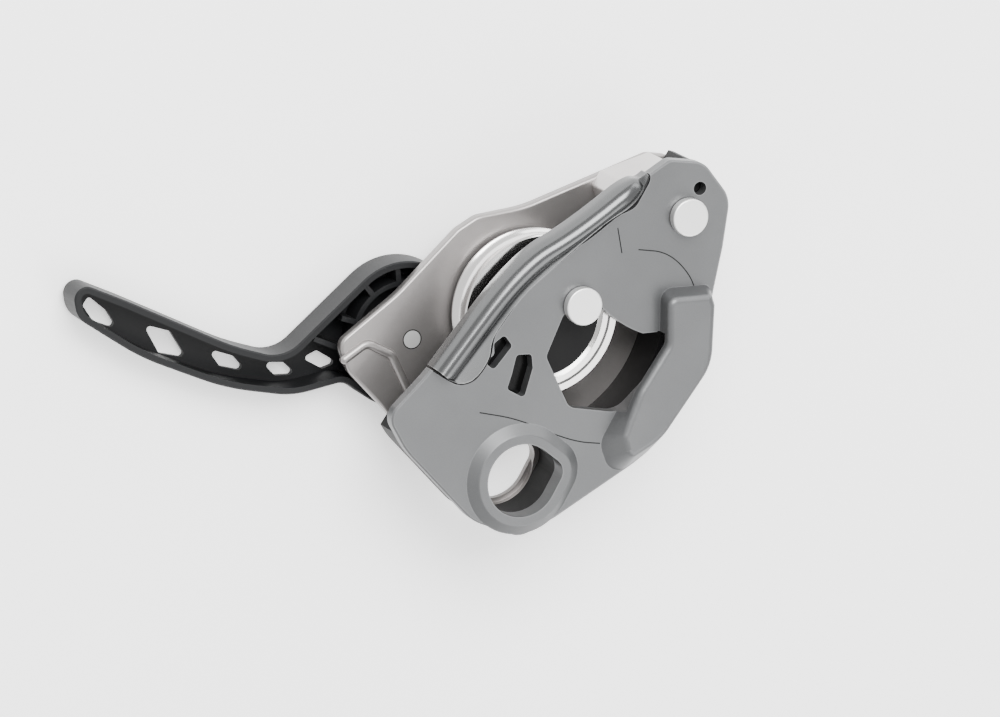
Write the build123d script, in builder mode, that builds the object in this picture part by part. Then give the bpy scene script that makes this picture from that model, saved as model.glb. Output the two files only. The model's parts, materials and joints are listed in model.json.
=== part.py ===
from build123d import *
import math
import os

# Belay device with a free-running rope wheel on a locking cam.
# Frame: origin at the centre of the carabiner eye, half way between the two side plates.
# +Z points out through the moving side plate, +Y runs from the eye up to the head of the device.
# All sizes are in millimetres.

# ---------------------------------------------------------------- plates and rope channel
PLATE_THICKNESS = 3.0
CHANNEL_WIDTH = 12.0
SIDE_GAP = 0.4            # space left beside the moving side plate
FIT_GAP = 0.05            # radial clearance of every turning fit
EDGE_ROUND = 0.8          # rounding of the visible plate edges
SPACER_INSET = 0.3        # the head spacer stays this far inside the plate outline
LINER_INSET = 1.0         # and the channel liner this far
HEAD_HOLE_RADIUS = 1.6    # small hole above the head pivot
BLOCK_EDGE = 0.4
SPACER_WIDTH = 27.2
SPACER_LENGTH = 33.0
ROPE_WALL_RADIUS = 30.5   # the rope runs round the wheel inside this radius
FRONT_LINER_THICKNESS = 0.9
FRONT_LINER_ROUND = 2.0
SLOT_GAP = 0.5            # round the release pin in its slot
RIDGE_RADIUS = 1.1
RIDGE_BEND = 2.6

# ---------------------------------------------------------------- main centres
HEAD_X, HEAD_Y = 1.0, 73.0            # pivot of the moving side plate
AXLE_X, AXLE_Y = -10.4, 42.1          # axle of the cam
THROW_X, THROW_Y = -4.5, -7.0         # from the axle to the wheel centre
GRIP_X, GRIP_Y = -35.6, 14.5          # rivet that the handle turns on

# ---------------------------------------------------------------- carabiner eye
EYE_RADIUS = 8.8
EYE_NOSE = 3.6            # radius of the drawn-out corner of the eye
EYE_NOSE_REACH = 6.8
RIM_WIDTH = 3.4
RIM_HEIGHT = 1.9
RIM_FLARE = 1.2           # how far the rim slopes, each way from its middle
SLEEVE_WALL = 1.2
SLEEVE_START = 96.0       # degrees
SLEEVE_END = 250.0

# ---------------------------------------------------------------- pins
PIN_RADIUS = 3.0
PIN_HEAD_RADIUS = 4.5
PIN_HEAD_HEIGHT = 2.1
HEAD_LIFT = 0.35          # space under the pin heads
TAIL_RADIUS = 4.4
TAIL_HEIGHT = 0.8
HEAD_BUSH_WALL = 0.9
PIN_EDGE = 0.4

# ---------------------------------------------------------------- rope wheel, bearing, cam
WHEEL_RADIUS = 19.5
WHEEL_WIDTH = 8.4
WHEEL_BACK = -4.7
GROOVE_DEPTH = 1.9
WHEEL_BORE = 16.0
FACE_STEP = 0.5
FLANGE_LAND = 1.8         # polished land at the edge of the wheel
LAND_SLOPE = 0.4
LAND_EDGE = 0.3
GROOVE_LIP = 0.8
RACE_WALL = 1.0
BALL_RADIUS = 0.9
BALL_COUNT = 22
BEARING_WIDTH = 5.0
CAM_RADIUS = WHEEL_BORE - 2 * RACE_WALL - 2 * BALL_RADIUS + 0.3
CAM_BUSH_WALL = 0.8
CAM_SHOULDER = 2.3        # the collar that backs the bearing
CAM_CAP_THICKNESS = 0.8
CAP_GAP = 0.4             # from the bearing to the cap
CIRCLIP_WALL = 1.5
CIRCLIP_THICKNESS = 0.7
SPRING_POCKET_DEPTH = 1.6
SPRING_POCKET_ROOM = 1.5  # beyond the bush
SPRING_OUTER_GAP = 0.3
SPRING_WIDTH = 0.8
RELEASE_PIN_RADIUS = 1.5
RELEASE_PIN_REACH = 18.6  # from the axle centre
RELEASE_PIN_ANGLE = 230.5
RELEASE_PIN_PROUD = 0.6   # stands out behind the fixed plate
CAM_SWING = 28.0          # degrees from open to locked

# ---------------------------------------------------------------- bridge over the axle head
BRIDGE_RISE = 5.0
BRIDGE_ROOF = 2.2
BRIDGE_ROUND = 1.6
TUNNEL_GAP = 0.5
SLOT_SWEEP = 60.0         # degrees that the axle slot runs on from the axle
TUNNEL_START = 40.0
TUNNEL_END = 88.0

# ---------------------------------------------------------------- rolled rope edge
LIP_RADIUS = 3.1
LIP_LIFT = 0.5            # centre of the roll above the plate's outer face

# ---------------------------------------------------------------- handle
HANDLE_GAP = 1.2
HANDLE_DEPTH = 9.0
HANDLE_REACH = 85.0
HANDLE_ANGLE = 203.6
HANDLE_HUB_RADIUS = 17.2
HANDLE_WALL = 1.6
HANDLE_WEB = 1.5
HUB_BOSS_RADIUS = 6.0
HUB_RIB_RADIUS = 13.0
RIB_THICKNESS = 1.2
RIB_DROP = 1.0            # the ribs end this far below the open side
SPOKE_LENGTH = 4.4
SPOKE_SHIFT = 1.2
ARM_RIB_LENGTH = 11.0
ARM_RIB_REACH = 17.5
ARM_RIB_ANGLE = 219.0
ARM_RIB_TURN = 10.0
WEB_WINDOW_ROUND = 0.5
WINDOW_GROWTH = 0.3
DOG_THICKNESS = 1.8
DOG_REACH = 20.3          # past the middle of the release pin
DOG_START = 84.0
DOG_END = 104.0
DOG_ROOM = 0.3
DOG_SIDE_ROOM = 2.0       # degrees
DOG_EDGE = 0.3
GRIP_PIN_RADIUS = 2.1
GRIP_BUSH_WALL = 0.8
WASHER_RADIUS = 5.0
WASHER_THICKNESS = 0.6
SPRING_WASHER_THICKNESS = 0.3
WASHER_GAP = 0.3
GRIP_RIVET_PLAY = 0.2

# ---------------------------------------------------------------- small fasteners and springs
RIVET_RADIUS = 1.3
RIVET_HEAD_RADIUS = 2.2
RIVET_HEAD_HEIGHT = 0.7
RIVET_EDGE = 0.3
SPRING_WIRE = 0.45

FIXED_INNER = -CHANNEL_WIDTH / 2
FIXED_OUTER = FIXED_INNER - PLATE_THICKNESS
MOVING_INNER = CHANNEL_WIDTH / 2
MOVING_OUTER = MOVING_INNER + PLATE_THICKNESS
HANDLE_TOP = FIXED_OUTER - HANDLE_GAP
HANDLE_BACK = HANDLE_TOP - HANDLE_DEPTH
WHEEL_FRONT = WHEEL_BACK + WHEEL_WIDTH
BRIDGE_TOP = MOVING_OUTER + BRIDGE_RISE
BRIDGE_UNDERSIDE = BRIDGE_TOP - BRIDGE_ROOF
SPACER_TOP = MOVING_INNER - SIDE_GAP
CAM_BACK = FIXED_INNER + SIDE_GAP
BEARING_BACK = WHEEL_BACK + (WHEEL_WIDTH - BEARING_WIDTH) / 2
BEARING_FRONT = BEARING_BACK + BEARING_WIDTH
BEARING_MIDDLE = BEARING_BACK + BEARING_WIDTH / 2
CAP_BACK = BEARING_FRONT + CAP_GAP
AXLE_BORE = PIN_RADIUS + FIT_GAP
SPRING_POCKET_RADIUS = PIN_RADIUS + CAM_BUSH_WALL + SPRING_POCKET_ROOM
SPRING_OUTER = SPRING_POCKET_RADIUS - SPRING_OUTER_GAP
INNER_RACE_RADIUS = CAM_RADIUS + RACE_WALL
OUTER_RACE_RADIUS = WHEEL_BORE - RACE_WALL
BALL_CIRCLE = (INNER_RACE_RADIUS + OUTER_RACE_RADIUS) / 2
RACE_TRACK = BALL_RADIUS + FIT_GAP
GRIP_BORE = GRIP_PIN_RADIUS + FIT_GAP
HUB_ROUND = 0.92 * HANDLE_HUB_RADIUS
HEAD = (HEAD_X, HEAD_Y)
AXLE = (AXLE_X, AXLE_Y)
WHEEL = (AXLE_X + THROW_X, AXLE_Y + THROW_Y)
GRIP = (GRIP_X, GRIP_Y)
AXLE_SPAN = math.dist(HEAD, AXLE)
AXLE_BEARING = math.degrees(math.atan2(AXLE_Y - HEAD_Y, AXLE_X - HEAD_X))

os.makedirs("parts", exist_ok=True)


def save(piece, name):
    """Labels a finished piece and writes its STEP file."""
    piece.part.label = name
    export_step(piece.part, f"parts/{name}.step")


def from_head(dx, dy):
    """A point given from the head pivot."""
    return (HEAD_X + dx, HEAD_Y + dy)


def from_axle(dx, dy):
    """A point given from the cam axle."""
    return (AXLE_X + dx, AXLE_Y + dy)


def from_grip(dx, dy):
    """A point given from the handle's rivet."""
    return (GRIP_X + dx, GRIP_Y + dy)


def around(centre, radius, degrees):
    """A point at a radius and an angle round a centre."""
    turn = math.radians(degrees)
    return (centre[0] + radius * math.cos(turn), centre[1] + radius * math.sin(turn))


def arm_point(share, drop):
    """A point on the handle: a share of its reach, and a drop below the line to its tip."""
    foot = around(GRIP, share * HANDLE_REACH, HANDLE_ANGLE)
    return around(foot, drop, HANDLE_ANGLE + 90)


def ring_sector(centre, inner, outer, start, end):
    """The face of a ring sector round a centre, between two radii and two angles."""
    middle = (start + end) / 2
    with BuildSketch() as sector:
        with BuildLine():
            ThreePointArc(
                around(centre, inner, start),
                around(centre, inner, middle),
                around(centre, inner, end),
            )
            Line(around(centre, inner, end), around(centre, outer, end))
            ThreePointArc(
                around(centre, outer, end),
                around(centre, outer, middle),
                around(centre, outer, start),
            )
            Line(around(centre, outer, start), around(centre, inner, start))
        make_face()
    return sector.sketch


def rounded_face(corners, radii):
    """A closed face with straight sides and rounded corners."""
    with BuildSketch() as face:
        with BuildLine():
            FilletPolyline(*corners, radius=radii, close=True)
        make_face()
    return face.sketch


# Outline of the moving side plate, clockwise from the upper end of the rope edge.
PLATE_CORNERS = [
    from_head(-11.6, 8.8),
    from_head(-3.6, 12.8),
    from_head(7.4, 9.2),
    from_head(12.6, -1.4),
    from_head(17.2, -12.6),
    from_axle(37.0, 5.2),
    from_axle(36.6, -20.0),
    (13.6, -3.2),
    (8.4, -11.6),
    (-4.6, -14.2),
    (-29.0, -8.4),
    (-37.6, -4.0),
    (-34.6, 10.0),
    from_axle(-20.9, 3.4),
    from_axle(-12.6, 12.6),
]
PLATE_RADII = [3, 6, 7, 9, 14, 14, 30, 9, 6, 12, 20, 4, 60, 21, 28]

# Border between the plate and its wear insert, from the lower end to the upper end.
INSERT_BORDER = [
    (-39.0, 10.7),
    (-26.9, 10.7),
    (-23.3, 14.6),
    (-23.1, 20.6),
    (-25.3, 25.2),
    from_axle(-14.2, -5.0),
    from_axle(-9.6, 8.0),
    from_head(-16.4, -10.2),
    from_head(-12.6, -5.0),
    from_head(-13.0, 2.6),
    from_head(-21.0, 9.0),
]
INSERT_RADII = [2.6, 4, 4, 6, 8, 8, 6, 4, 3]

# Centre line of the rolled edge.
LIP_LINE = [
    (-31.8, 11.2),
    from_axle(-18.0, 3.0),
    from_axle(-10.6, 13.2),
    from_head(-16.0, -2.0),
]
LIP_RADII = [30, 30]

# Outline of the fixed side plate: its lobe at the left, then the rope edge up to the head.
LOBE_CORNERS = [
    from_head(-9.6, 8.2),
    from_axle(-18.6, 12.6),
    from_axle(-27.6, 4.8),
    from_axle(-30.2, -0.4),
    from_axle(-34.6, -20.4),
    from_grip(-15.6, -10.0),
    from_grip(-9.4, -14.4),
    from_grip(2.0, -17.0),
    (-26.0, -4.6),
    (-8.4, -10.9),
]
LOBE_RADII = [3, 30, 5, 6, 30, 3.2, 6, 8, 8, 12]

# Embossed ridge on the lobe of the fixed plate.
RIDGE_LINE = [
    from_grip(-12.2, -12.4),
    from_grip(-9.6, -6.4),
    from_grip(-2.6, -5.6),
    from_grip(9.6, -12.6),
]

# Crescent window of the moving plate, with the small windows beside it.
SMALL_WINDOWS = [
    [(-24.4, 23.6), (-23.2, 26.6), (-20.0, 25.4), (-20.8, 18.4), (-23.4, 18.6), (-22.9, 21.6)],
    [(-17.8, 24.2), (-14.6, 26.2), (-12.4, 23.6), (-10.2, 16.6), (-15.2, 16.2), (-16.2, 19.8)],
]
SMALL_WINDOW_ROUND = 0.9
WINDOW_CORNERS = [
    from_axle(-2.6, -3.6),
    from_axle(-0.6, -14.6),
    from_axle(11.6, -21.8),
    from_axle(23.8, -16.4),
    from_axle(27.0, -2.0),
    from_axle(25.4, 7.4),
    from_axle(17.6, 2.0),
    from_axle(8.0, 0.0),
]
WINDOW_ROUND = [1.5, 2.0, 3.0, 6.0, 6.0, 1.0, 2.0, 4.0]

# Raised bridge at the right edge of the moving plate.
BRIDGE_CORNERS = [
    from_head(4.2, -17.6),
    from_head(14.6, -10.6),
    from_head(17.4, -12.9),
    from_axle(36.7, 5.3),
    from_axle(36.3, -19.8),
    (20.6, 11.6),
    (13.0, 17.0),
    from_axle(22.4, -12.0),
    from_axle(22.4, 3.4),
]
BRIDGE_RADII = [3, 2, 3, 14, 20, 4, 5, 8, 3]
# Flat top of the bridge; its lower end slopes down to the plate.
CREST_CORNERS = [
    from_head(5.0, -19.0),
    from_head(14.2, -12.8),
    from_head(16.4, -14.4),
    from_axle(35.5, 4.4),
    from_axle(34.4, -16.0),
    (19.6, 17.8),
    (15.4, 21.6),
    from_axle(22.9, -9.5),
    from_axle(22.9, 2.6),
]
CREST_RADII = [2, 1, 1.5, 12, 14, 1.5, 1.5, 8, 3]

# Friction block and head spacer between the plates.
BLOCK_CORNERS = [
    from_head(-18.0, -1.4),
    from_head(-9.4, 8.9),
    from_head(-5.8, 6.2),
    from_head(-5.8, -10.0),
    from_head(-10.2, -10.6),
    from_head(-18.0, -5.4),
]
BLOCK_ROUND = 1.0

# The black moulding that lines the inside of the moving plate, seen through the small windows.
FRONT_LINER_CORNERS = [
    (-28.6, 13.0),
    (-29.6, 33.0),
    (-21.0, 33.0),
    (-17.0, 28.2),
    (-9.8, 27.6),
    (-6.6, 13.4),
]
FRONT_LINER_RIVETS = [(-26.4, 29.8), (-18.4, 14.9)]

# Outline of the fixed plate: the lobe, then round the eye and up the right side to the head.
FIXED_CORNERS = [
    *LOBE_CORNERS,
    (-0.8, -11.9),
    (7.4, -10.6),
    (13.0, -3.2),
    from_axle(35.8, -20.0),
    from_axle(36.2, 5.0),
    from_head(16.4, -13.0),
    from_head(11.4, -1.8),
    from_head(6.0, 7.8),
    from_head(-4.0, 10.9),
]
FIXED_RADII = [*LOBE_RADII, 6, 5, 9, 30, 14, 14, 9, 7, 6]

# Rivets between the fixed plate and the pieces that stand on it.
BLOCK_RIVETS = [from_head(-8.4, -8.2), from_head(-10.0, 1.6)]
LINER_RIVETS = [(-19.5, -4.6), (14.4, 5.4), from_axle(31.4, -3.0)]
SPACER_RIVETS = [from_head(9.2, -7.6), from_head(-2.0, 7.4)]

# What the channel liner fills inside the plate outline.
LINER_CORNERS = [
    (-31.0, -2.6),
    (-12.0, -2.6),
    around((0, 0), EYE_RADIUS + SLEEVE_WALL, 178),
    (0, 12.0),
    from_head(-6.0, -17.6),
    from_head(40.0, -17.6),
    (40.0, -30.0),
    (-31.0, -30.0),
]

# Places of single features.
HEAD_HOLE = from_head(-0.9, 7.1)
SPACER_MIDDLE = from_head(8.0, 0.0)
RELEASE_POINT = around(AXLE, RELEASE_PIN_REACH, RELEASE_PIN_ANGLE)
RELEASE_LOCKED = around(AXLE, RELEASE_PIN_REACH, RELEASE_PIN_ANGLE - CAM_SWING)

# Straight sides that touch the round hub at these angles; their corners are rounded to the hub.
HUB_SIDES = [166, 86, 10, -46, -92]
HUB_CORNERS = [
    around(
        GRIP,
        HANDLE_HUB_RADIUS / math.cos(math.radians((first - second) / 2)),
        (first + second) / 2,
    )
    for first, second in zip(HUB_SIDES, HUB_SIDES[1:])
]

# Outline of the lever, from its lower edge round the tip and back to the hub.
LEVER_CORNERS = [
    arm_point(0.158, 12.6),
    arm_point(0.300, 17.2),
    arm_point(0.500, 17.0),
    arm_point(0.760, 11.9),
    arm_point(0.962, 4.3),
    arm_point(1.000, -4.6),
    arm_point(0.830, -1.0),
    arm_point(0.500, 6.9),
    arm_point(0.345, 8.6),
    *HUB_CORNERS,
]
LEVER_RADII = [4, 22, 60, 60, 6, 3, 80, 60, 9, *[HUB_ROUND for corner in HUB_CORNERS]]

# Windows in the web, each by share of reach and drop.
WEB_WINDOWS = [
    [(0.906, 0.6), (0.850, 3.4), (0.814, 6.8), (0.880, 5.6), (0.916, 2.4)],
    [(0.728, 5.8), (0.656, 6.6), (0.600, 11.9), (0.674, 11.5)],
    [(0.529, 9.9), (0.458, 10.9), (0.419, 13.6), (0.490, 13.1)],
    [(0.361, 11.6), (0.308, 11.1), (0.270, 13.2), (0.324, 13.9)],
    [(0.248, 9.3), (0.216, 7.5), (0.156, 9.6), (0.189, 11.1)],
]

# Ribs round the hub, in degrees.
HUB_SPOKES = [60, 100, 130, 162, 196, 300, 340, 20]


def eye_shape(grow):
    """The carabiner eye: a circle with one drawn-out corner, grown by a margin."""
    with BuildSketch() as eye:
        Circle(EYE_RADIUS + grow)
        with Locations(around((0, 0), EYE_NOSE_REACH, 45)):
            Circle(EYE_NOSE + grow)
        make_hull()
    return eye.sketch


def insert_area():
    """The area that the wear insert takes from the moving plate."""
    far_left = INSERT_BORDER[0][0] - 12
    with BuildSketch() as area:
        with BuildLine():
            FilletPolyline(*INSERT_BORDER, radius=INSERT_RADII)
            Polyline(
                INSERT_BORDER[-1],
                (far_left, INSERT_BORDER[-1][1]),
                (far_left, INSERT_BORDER[0][1]),
                INSERT_BORDER[0],
            )
        make_face()
    return area.sketch


PLATE_OUTLINE = rounded_face(PLATE_CORNERS, PLATE_RADII)
INSERT_AREA = insert_area()

# ================================================================ moving side plate
with BuildPart() as lip_wear_insert:
    with BuildSketch(Plane.XY.offset(MOVING_INNER)):
        add(PLATE_OUTLINE)
        add(INSERT_AREA, mode=Mode.INTERSECT)
    extrude(amount=PLATE_THICKNESS)
    with BuildLine(Plane.XY.offset(MOVING_OUTER + LIP_LIFT)) as lip_path:
        FilletPolyline(*LIP_LINE, radius=LIP_RADII)
    with BuildSketch(Plane(origin=lip_path.line @ 0, z_dir=lip_path.line % 0)):
        Circle(LIP_RADIUS)
    sweep(path=lip_path.line)
    with Locations(lip_path.line @ 1):
        Sphere(LIP_RADIUS)
save(lip_wear_insert, "lip_wear_insert")

with BuildPart() as moving_side_plate:
    with BuildSketch(Plane.XY.offset(MOVING_INNER)):
        add(PLATE_OUTLINE)
    extrude(amount=PLATE_THICKNESS)
    chamfer(moving_side_plate.edges().group_by(Axis.Z)[-1], EDGE_ROUND / 2)
    # raised rim round the eye
    with BuildSketch(Plane.XY.offset(MOVING_OUTER)):
        add(eye_shape(RIM_WIDTH + RIM_FLARE))
    with BuildSketch(Plane.XY.offset(MOVING_OUTER + RIM_HEIGHT)):
        add(eye_shape(RIM_WIDTH - RIM_FLARE))
    loft()
    fillet(moving_side_plate.edges().group_by(Axis.Z)[-1], RIM_HEIGHT / 4)
    # bridge, solid at first
    with BuildSketch(Plane.XY.offset(MOVING_INNER)):
        add(rounded_face(BRIDGE_CORNERS, BRIDGE_RADII))
    extrude(amount=PLATE_THICKNESS)
    with BuildSketch(Plane.XY.offset(MOVING_OUTER)):
        add(rounded_face(BRIDGE_CORNERS, BRIDGE_RADII))
    with BuildSketch(Plane.XY.offset(BRIDGE_TOP)):
        add(rounded_face(CREST_CORNERS, CREST_RADII))
    loft()
    fillet(moving_side_plate.edges().group_by(Axis.Z)[-1], BRIDGE_ROUND)
    # the eye
    with BuildSketch(Plane.XY.offset(MOVING_INNER)):
        add(eye_shape(0))
    extrude(amount=PLATE_THICKNESS + RIM_HEIGHT, mode=Mode.SUBTRACT)
    # crescent window, under the bridge too
    with BuildSketch(Plane.XY.offset(MOVING_INNER)):
        add(rounded_face(WINDOW_CORNERS, WINDOW_ROUND))
        with Locations(AXLE):
            Circle(PIN_RADIUS + TUNNEL_GAP)
        add(
            ring_sector(
                HEAD,
                AXLE_SPAN - PIN_RADIUS - TUNNEL_GAP,
                AXLE_SPAN + PIN_RADIUS + TUNNEL_GAP,
                AXLE_BEARING,
                AXLE_BEARING + SLOT_SWEEP,
            )
        )
    extrude(amount=BRIDGE_UNDERSIDE - MOVING_INNER, mode=Mode.SUBTRACT)
    # tunnel that the axle head leaves through when the plate swings open
    with BuildSketch(Plane.XY.offset(MOVING_INNER)):
        add(
            ring_sector(
                HEAD,
                AXLE_SPAN - PIN_HEAD_RADIUS - TUNNEL_GAP,
                AXLE_SPAN + PIN_HEAD_RADIUS + TUNNEL_GAP,
                AXLE_BEARING + TUNNEL_START,
                AXLE_BEARING + TUNNEL_END,
            )
        )
    extrude(amount=BRIDGE_UNDERSIDE - MOVING_INNER, mode=Mode.SUBTRACT)
    # small windows
    with BuildSketch(Plane.XY.offset(MOVING_INNER)):
        for corners in SMALL_WINDOWS:
            add(rounded_face(corners, SMALL_WINDOW_ROUND))
        with Locations(HEAD_HOLE):
            Circle(HEAD_HOLE_RADIUS)
    extrude(amount=PLATE_THICKNESS, mode=Mode.SUBTRACT)
    # bore of the head bush
    with BuildSketch(Plane.XY.offset(MOVING_INNER)):
        with Locations(HEAD):
            Circle(PIN_RADIUS + FIT_GAP + HEAD_BUSH_WALL)
    extrude(amount=PLATE_THICKNESS, mode=Mode.SUBTRACT)
    # seat of the wear insert
    with BuildSketch(Plane.XY.offset(MOVING_INNER)):
        add(INSERT_AREA)
    extrude(amount=PLATE_THICKNESS, mode=Mode.SUBTRACT)
    add(lip_wear_insert.part, mode=Mode.SUBTRACT)
save(moving_side_plate, "moving_side_plate")

with BuildPart() as front_liner:
    with BuildSketch(Plane.XY.offset(MOVING_INNER)):
        add(rounded_face(FRONT_LINER_CORNERS, FRONT_LINER_ROUND))
        with Locations(*FRONT_LINER_RIVETS):
            Circle(RIVET_RADIUS, mode=Mode.SUBTRACT)
    extrude(amount=-FRONT_LINER_THICKNESS)
save(front_liner, "front_liner")

with BuildPart() as front_liner_pins:
    with BuildSketch(Plane.XY.offset(MOVING_INNER)):
        with Locations(*FRONT_LINER_RIVETS):
            Circle(RIVET_RADIUS)
    extrude(amount=-FRONT_LINER_THICKNESS)
save(front_liner_pins, "front_liner_pins")

with BuildPart() as head_bush:
    with BuildSketch(Plane.XY.offset(MOVING_INNER)):
        with Locations(HEAD):
            Circle(PIN_RADIUS + FIT_GAP + HEAD_BUSH_WALL)
            Circle(PIN_RADIUS + FIT_GAP, mode=Mode.SUBTRACT)
    extrude(amount=PLATE_THICKNESS)
save(head_bush, "head_bush")

# ================================================================ fixed side plate
with BuildPart() as fixed_side_plate:
    with BuildSketch(Plane.XY.offset(FIXED_OUTER)):
        add(rounded_face(FIXED_CORNERS, FIXED_RADII))
    extrude(amount=PLATE_THICKNESS)
    fillet(fixed_side_plate.edges().group_by(Axis.Z)[-1], EDGE_ROUND)
    fillet(fixed_side_plate.edges().group_by(Axis.Z)[0], EDGE_ROUND)
    with BuildSketch(Plane.XY.offset(FIXED_OUTER)):
        add(eye_shape(0))
        with Locations(HEAD, AXLE):
            Circle(PIN_RADIUS)
        with Locations(GRIP):
            Circle(GRIP_PIN_RADIUS)
        with Locations(*BLOCK_RIVETS, *LINER_RIVETS, *SPACER_RIVETS):
            Circle(RIVET_RADIUS)
    extrude(amount=PLATE_THICKNESS, mode=Mode.SUBTRACT)
    # seat of the eye sleeve
    with BuildSketch(Plane.XY.offset(FIXED_INNER)):
        Circle(EYE_RADIUS + SLEEVE_WALL)
    extrude(amount=-PLATE_THICKNESS / 2, mode=Mode.SUBTRACT)
    # arc slot for the release pin of the cam
    with BuildSketch(Plane.XY.offset(FIXED_OUTER)):
        add(
            ring_sector(
                AXLE,
                RELEASE_PIN_REACH - RELEASE_PIN_RADIUS - SLOT_GAP,
                RELEASE_PIN_REACH + RELEASE_PIN_RADIUS + SLOT_GAP,
                RELEASE_PIN_ANGLE - CAM_SWING,
                RELEASE_PIN_ANGLE,
            )
        )
        with Locations(RELEASE_POINT, RELEASE_LOCKED):
            Circle(RELEASE_PIN_RADIUS + SLOT_GAP)
    extrude(amount=PLATE_THICKNESS, mode=Mode.SUBTRACT)
    # embossed ridge on the lobe
    with BuildLine(Plane.XY.offset(FIXED_INNER)) as ridge_path:
        FilletPolyline(*RIDGE_LINE, radius=RIDGE_BEND)
    with BuildSketch(Plane(origin=ridge_path.line @ 0, z_dir=ridge_path.line % 0)):
        Circle(RIDGE_RADIUS)
    sweep(path=ridge_path.line)
    with Locations(ridge_path.line @ 0, ridge_path.line @ 1):
        Sphere(RIDGE_RADIUS)
save(fixed_side_plate, "fixed_side_plate")

# ---------------------------------------------------------------- pins of the fixed body


def plate_pin(centre):
    """A pin riveted through the fixed plate, with a flat head over the moving plate."""
    with BuildPart() as pin:
        with BuildSketch(Plane.XY.offset(FIXED_OUTER - TAIL_HEIGHT)):
            with Locations(centre):
                Circle(TAIL_RADIUS)
        extrude(amount=TAIL_HEIGHT)
        chamfer(pin.edges().group_by(Axis.Z)[0], PIN_EDGE)
        with BuildSketch(Plane.XY.offset(FIXED_OUTER)):
            with Locations(centre):
                Circle(PIN_RADIUS)
        extrude(amount=MOVING_OUTER + HEAD_LIFT - FIXED_OUTER)
        with BuildSketch(Plane.XY.offset(MOVING_OUTER + HEAD_LIFT)):
            with Locations(centre):
                Circle(PIN_HEAD_RADIUS)
        extrude(amount=PIN_HEAD_HEIGHT)
        fillet(pin.edges().group_by(Axis.Z)[-1], PIN_EDGE)
    return pin


save(plate_pin(AXLE), "main_axle")
save(plate_pin(HEAD), "head_pivot_pin")

# ---------------------------------------------------------------- pieces between the plates
with BuildPart() as eye_sleeve:
    with BuildSketch(Plane.XY.offset(FIXED_INNER - PLATE_THICKNESS / 2)):
        add(ring_sector((0, 0), EYE_RADIUS, EYE_RADIUS + SLEEVE_WALL, SLEEVE_START, SLEEVE_END))
    extrude(amount=SPACER_TOP - FIXED_INNER + PLATE_THICKNESS / 2)
save(eye_sleeve, "eye_sleeve")

with BuildPart() as friction_block:
    with BuildSketch(Plane.XY.offset(FIXED_INNER)):
        add(rounded_face(BLOCK_CORNERS, BLOCK_ROUND))
    extrude(amount=SPACER_TOP - FIXED_INNER)
    chamfer(friction_block.edges().group_by(Axis.Z)[-1], BLOCK_EDGE)
    with BuildSketch(Plane.XY.offset(FIXED_INNER)):
        with Locations(*BLOCK_RIVETS):
            Circle(RIVET_RADIUS)
    extrude(amount=PLATE_THICKNESS, mode=Mode.SUBTRACT)
save(friction_block, "friction_block")

with BuildPart() as head_spacer:
    with BuildSketch(Plane.XY.offset(FIXED_INNER)):
        add(PLATE_OUTLINE)
        offset(amount=-SPACER_INSET)
        with Locations(SPACER_MIDDLE):
            Rectangle(SPACER_WIDTH, SPACER_LENGTH, mode=Mode.INTERSECT)
        with Locations(WHEEL):
            Circle(ROPE_WALL_RADIUS, mode=Mode.SUBTRACT)
        with Locations(HEAD):
            Circle(PIN_RADIUS + FIT_GAP, mode=Mode.SUBTRACT)
    extrude(amount=SPACER_TOP - FIXED_INNER)
    with BuildSketch(Plane.XY.offset(FIXED_INNER)):
        with Locations(*SPACER_RIVETS):
            Circle(RIVET_RADIUS)
    extrude(amount=PLATE_THICKNESS, mode=Mode.SUBTRACT)
save(head_spacer, "head_spacer")

with BuildPart() as channel_liner:
    with BuildSketch(Plane.XY.offset(FIXED_INNER)):
        add(PLATE_OUTLINE)
        offset(amount=-LINER_INSET)
        with BuildLine():
            Polyline(*LINER_CORNERS, close=True)
        make_face(mode=Mode.INTERSECT)
        with Locations(WHEEL):
            Circle(ROPE_WALL_RADIUS, mode=Mode.SUBTRACT)
        add(eye_shape(SLEEVE_WALL + FIT_GAP), mode=Mode.SUBTRACT)
    extrude(amount=SPACER_TOP - FIXED_INNER)
    with BuildSketch(Plane.XY.offset(FIXED_INNER)):
        with Locations(*LINER_RIVETS):
            Circle(RIVET_RADIUS)
    extrude(amount=PLATE_THICKNESS, mode=Mode.SUBTRACT)
save(channel_liner, "channel_liner")


def rivet_group(points):
    """Flat-headed rivets put in from the back of the fixed plate."""
    with BuildPart() as rivets:
        with BuildSketch(Plane.XY.offset(FIXED_OUTER)):
            with Locations(*points):
                Circle(RIVET_RADIUS)
        extrude(amount=2 * PLATE_THICKNESS)
        with BuildSketch(Plane.XY.offset(FIXED_OUTER)):
            with Locations(*points):
                Circle(RIVET_HEAD_RADIUS)
        extrude(amount=-RIVET_HEAD_HEIGHT)
        chamfer(rivets.edges().group_by(Axis.Z)[0], RIVET_EDGE)
    return rivets


save(rivet_group(BLOCK_RIVETS), "block_rivets")
save(rivet_group(LINER_RIVETS), "liner_rivets")
save(rivet_group(SPACER_RIVETS), "spacer_rivets")

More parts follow.
